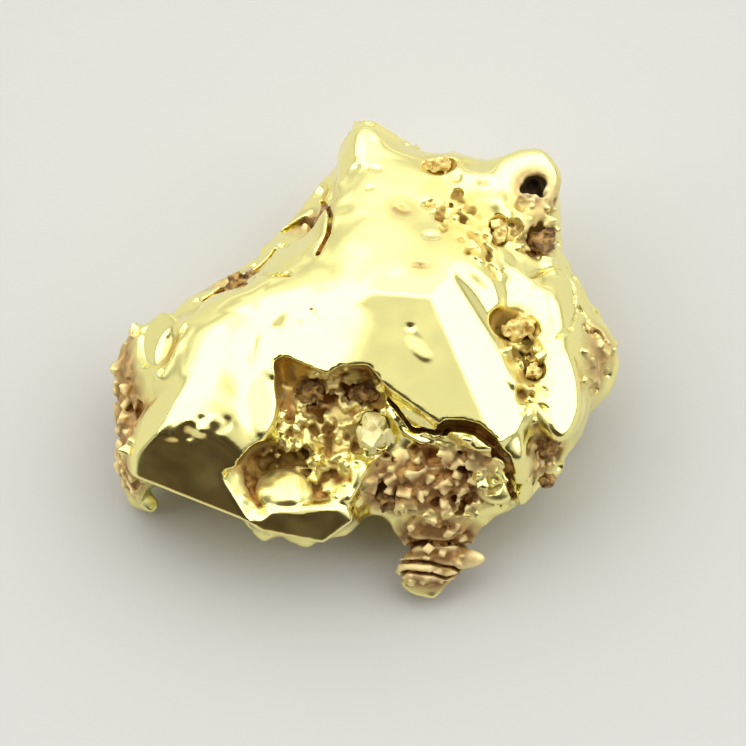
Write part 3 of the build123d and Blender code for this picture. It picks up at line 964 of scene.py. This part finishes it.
def gold_material():
    """Bright gold, grained in the rough places, stained brown and amber in the rusty places, with painted
    shade deep in the hollows and gaps, near-black in the horn pit, and painted cream highlights.
    """
    material, nodes, shader = new_material("native_gold")
    rough = nodes.attribute("rough")
    recess = nodes.attribute("recess")
    rust_share = nodes.attribute("rust")
    blotches = nodes.maths("MULTIPLY", nodes.noise(0.35, 3.0, seed=3.0), 0.1)

    # where stain and painted shade lie: painted shade in deep hollows and in narrow gaps, and stain in the
    # hollows of the places that are rusty
    # painted shade: the depth mask darkens every deep hollow, most of all in the rough places
    depth = nodes.ramp(nodes.maths("ADD", recess, blotches), 0.55, 0.68)
    depth = nodes.maths("MULTIPLY", depth, nodes.ramp(rough, 0.0, 0.7, 0.3, 1.0))
    # painted shade: narrow gaps are darkened too
    painted_crevice_shade = nodes.ramp(nodes.maths("ADD", nodes.attribute("crevice"), blotches), 0.64, 0.84)
    hollow = nodes.maths("ADD", nodes.attribute("crevice"), nodes.maths("MULTIPLY", blotches, 2.0))
    rust = nodes.maths("MULTIPLY", rust_share, nodes.ramp(hollow, 0.36, 0.58))
    amber = nodes.maths("MULTIPLY", nodes.attribute("amber"), nodes.ramp(hollow, 0.42, 0.66))
    stain = nodes.maths("MAXIMUM", nodes.maths("MAXIMUM", depth, painted_crevice_shade), rust)

    # the gold's own colour, with painted shade and painted highlights, and the colour of stain and painted
    # shade
    # painted shade: hollow skin turns a deeper, darker gold
    gold_stain_and_painted_light = nodes.mix(nodes.ramp(recess, 0.53, 0.66), CLEAN_GOLD, HOLLOW_SHADE_GOLD)
    gold_stain_and_painted_light = nodes.mix(amber, gold_stain_and_painted_light, AMBER_STAIN)
    # painted highlight: the rusty places turn pale cream, which shows on their raised parts where no stain
    # or painted shade lies
    gold_stain_and_painted_light = nodes.mix(rust_share, gold_stain_and_painted_light, PAINTED_HIGHLIGHT_CREAM)
    earth_blotches = nodes.ramp(nodes.noise(0.3, 4.0, seed=9.0), 0.47, 0.66)
    stain_and_shade_brown = nodes.mix(earth_blotches, EARTH_STAIN_AND_SHADE, TAN_STAIN_AND_SHADE)
    stain_and_shade_brown = nodes.mix(nodes.attribute("amber"), stain_and_shade_brown, AMBER_EARTH_AND_SHADE)
    # painted shade: the horn pit, the only place stronger than 0.92, goes near-black
    dark = nodes.mix(nodes.ramp(rust_share, 0.92, 1.0), stain_and_shade_brown, PAINTED_PIT_SHADE)
    nodes.set(shader.inputs["Base Color"], nodes.mix(stain, gold_stain_and_painted_light, dark))

    # stain and painted shade cover the metal and dull it
    film = nodes.maths("MULTIPLY", nodes.maths("MAXIMUM", amber, rust_share), 0.7)
    dulled = nodes.maths("MAXIMUM", stain, film)
    nodes.set(shader.inputs["Metallic"], nodes.ramp(dulled, 0.15, 0.85, 1.0, 0.1))
    worn = nodes.ramp(nodes.noise(0.8, 4.0), 0.35, 0.7, 0.14, 0.24)
    roughness = nodes.maths("ADD", worn, nodes.maths("MULTIPLY", rough, 0.2))
    roughness = nodes.maths("ADD", roughness, nodes.maths("MULTIPLY", dulled, 0.3))
    nodes.set(shader.inputs["Roughness"], roughness)
    shader.inputs["Specular IOR Level"].default_value = 0.12
    strength = nodes.ramp(rough, 0.0, 1.0, 0.03, 0.35)
    add_bump(nodes, shader, nodes.noise(0.12, 2.0, seed=7.0), strength, 0.02)
    return material


def quartz_material(name, colours):
    """Grainy stained quartz, a little see-through, with glassy faces."""
    material, nodes, shader = new_material(name)
    patches = nodes.ramp(nodes.noise(0.22, 4.0), 0.4, 0.62)
    nodes.set(shader.inputs["Base Color"], nodes.mix(patches, *colours))
    roughness = nodes.ramp(nodes.noise(0.08, 3.0, seed=2.0), 0.35, 0.65, 0.18, 0.45)
    nodes.set(shader.inputs["Roughness"], roughness)
    shader.inputs["Coat Weight"].default_value = 0.3
    shader.inputs["Coat Roughness"].default_value = 0.12
    shader.inputs["Subsurface Weight"].default_value = 0.25
    shader.inputs["Subsurface Radius"].default_value = (1.0, 0.6, 0.25)
    shader.inputs["Subsurface Scale"].default_value = 0.15 * MM
    add_bump(nodes, shader, nodes.noise(0.05, 3.0, seed=5.0), 0.5, 0.01)
    return material


def ironstone_material():
    """Dark iron-stained rock with rusty patches."""
    material, nodes, shader = new_material("ironstone")
    patches = nodes.ramp(nodes.noise(0.2, 5.0), 0.38, 0.65)
    nodes.set(shader.inputs["Base Color"], nodes.mix(patches, *IRONSTONE))
    roughness = nodes.ramp(nodes.noise(0.1, 3.0, seed=4.0), 0.3, 0.7, 0.35, 0.75)
    nodes.set(shader.inputs["Roughness"], roughness)
    add_bump(nodes, shader, nodes.noise(0.06, 4.0, seed=6.0), 0.8, 0.015)
    return material


# ------------------------------ stage ------------------------------
CAMERA_ELEVATION = 70
CAMERA_DISTANCE = 300
VIEW_WIDTH = 17.48
VIEW_CENTRE = (0.094, -0.59, 2.4)
SENSOR_WIDTH = 36
FLOOR_RADIUS = 3000
FLOOR_COLOUR = (0.56, 0.556, 0.547, 1)


def camera():
    """Looks down at the nugget from the south, through a long lens."""
    elevation = math.radians(CAMERA_ELEVATION)
    back = Vector((0, -math.cos(elevation), math.sin(elevation)))
    data = bpy.data.cameras.new("camera")
    data.sensor_width = SENSOR_WIDTH
    data.lens = SENSOR_WIDTH * CAMERA_DISTANCE / VIEW_WIDTH
    data.clip_start = 0.01
    data.clip_end = 20
    made = bpy.data.objects.new("camera", data)
    made.location = (Vector(VIEW_CENTRE) + back * CAMERA_DISTANCE) * MM
    made.rotation_mode = "QUATERNION"
    made.rotation_quaternion = (-back).to_track_quat("-Z", "Y")
    bpy.context.scene.collection.objects.link(made)
    bpy.context.scene.camera = made


def floor():
    """A wide plain pale floor."""
    bpy.ops.mesh.primitive_circle_add(
        vertices=96, radius=FLOOR_RADIUS * MM, fill_type="TRIFAN", location=(0, 0, 0),
    )
    made = bpy.context.object
    made.name = "floor"
    material = bpy.data.materials.new("floor")
    material.use_nodes = True
    shader = material.node_tree.nodes["Principled BSDF"]
    shader.inputs["Base Color"].default_value = FLOOR_COLOUR
    shader.inputs["Roughness"].default_value = 0.6
    made.data.materials.append(material)


STUDIO_LIGHTS = [
    # direction, bright within and gone beyond these degrees, strength
    ((0, 0, 1), 20, 34, 0.68),
    ((0, 0.77, 0.64), 38, 55, 1.5),
    ((-0.62, 0.25, 0.74), 20, 38, 2.3),
    ((-0.85, 0.05, 0.5), 34, 54, 0.7),
    ((0.64, 0.2, 0.74), 18, 34, 2.3),
    ((0.85, 0.15, 0.5), 34, 54, 0.7),
]
ROOM_LIGHT = 0.1
BRIGHTEST_LIGHT = 2.4
HORIZON_LIGHT = 0.45
STUDIO_GAP = ((-0.2, -0.78, 0.59), 35, 42)  # direction, dark within and gone beyond these degrees
LIGHT_COLOUR = (1.0, 0.99, 0.95, 1)
GAP_COLOUR = (1.0, 0.72, 0.5, 1)


def world():
    """Studio surroundings by direction: bright panels above, north, east and west, and a dim gap south."""
    made = bpy.data.worlds.new("studio")
    bpy.context.scene.world = made
    made.use_nodes = True
    nodes = Nodes(made.node_tree)
    towards = made.node_tree.nodes.new("ShaderNodeTexCoord").outputs["Generated"]

    def patch(direction, inner, outer):
        """From 1 within inner degrees of a direction to 0 beyond outer degrees."""
        vectors = {0: towards, 1: Vector(direction).normalized()}
        near = nodes.add("VectorMath", vectors, output="Value", operation="DOT_PRODUCT")
        return nodes.ramp(near, math.cos(math.radians(outer)), math.cos(math.radians(inner)))

    light = ROOM_LIGHT
    for direction, inner, outer, strength in STUDIO_LIGHTS:
        panel = nodes.maths("MULTIPLY", patch(direction, inner, outer), strength)
        light = nodes.maths("ADD", light, panel)
    light = nodes.maths("MINIMUM", light, BRIGHTEST_LIGHT)
    height = nodes.add("SeparateXYZ", {0: towards}, output=2)
    light = nodes.maths("MULTIPLY", light, nodes.ramp(height, 0.25, 0.6, 0.42, 1.0))

    gap = patch(*STUDIO_GAP)
    light = nodes.maths("MULTIPLY", light, nodes.maths("SUBTRACT", 1.0, gap))
    clouds = nodes.add("TexNoise", {"Vector": towards, "Scale": 8, "Detail": 4})
    clouds = nodes.ramp(clouds, 0.4, 0.65, 0.04, 0.11)
    light = nodes.maths("ADD", light, nodes.maths("MULTIPLY", gap, clouds))

    horizon = nodes.maths("SUBTRACT", 1.0, patch((0, 0, 1), 76, 84))
    light = nodes.maths("ADD", light, nodes.maths("MULTIPLY", horizon, HORIZON_LIGHT))
    background = made.node_tree.nodes["Background"]
    nodes.set(background.inputs["Strength"], light)
    nodes.set(background.inputs["Color"], nodes.mix(gap, LIGHT_COLOUR, GAP_COLOUR))


# ------------------------------ the scene ------------------------------
bpy.context.scene.view_settings.view_transform = "Standard"
camera()
floor()
world()

gold = gold_piece()
gold.data.materials.append(gold_material())
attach(gold, "root")
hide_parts("gold_mass")

amber_quartz = quartz_material("amber_quartz", AMBER_QUARTZ)
pale_quartz = quartz_material("pale_quartz", PALE_QUARTZ)
ironstone = ironstone_material()
for number, node in enumerate(ALL_GRAINS):
    growth = PALE_GRAIN_GROWTH if node == PALE_GRAIN else 0.0
    grain = grain_piece(node, FIRST_GRAIN_SEED + number, growth)
    if node in IRONSTONE_GRAINS:
        grain.data.materials.append(ironstone)
    else:
        grain.data.materials.append(pale_quartz if node == PALE_GRAIN else amber_quartz)
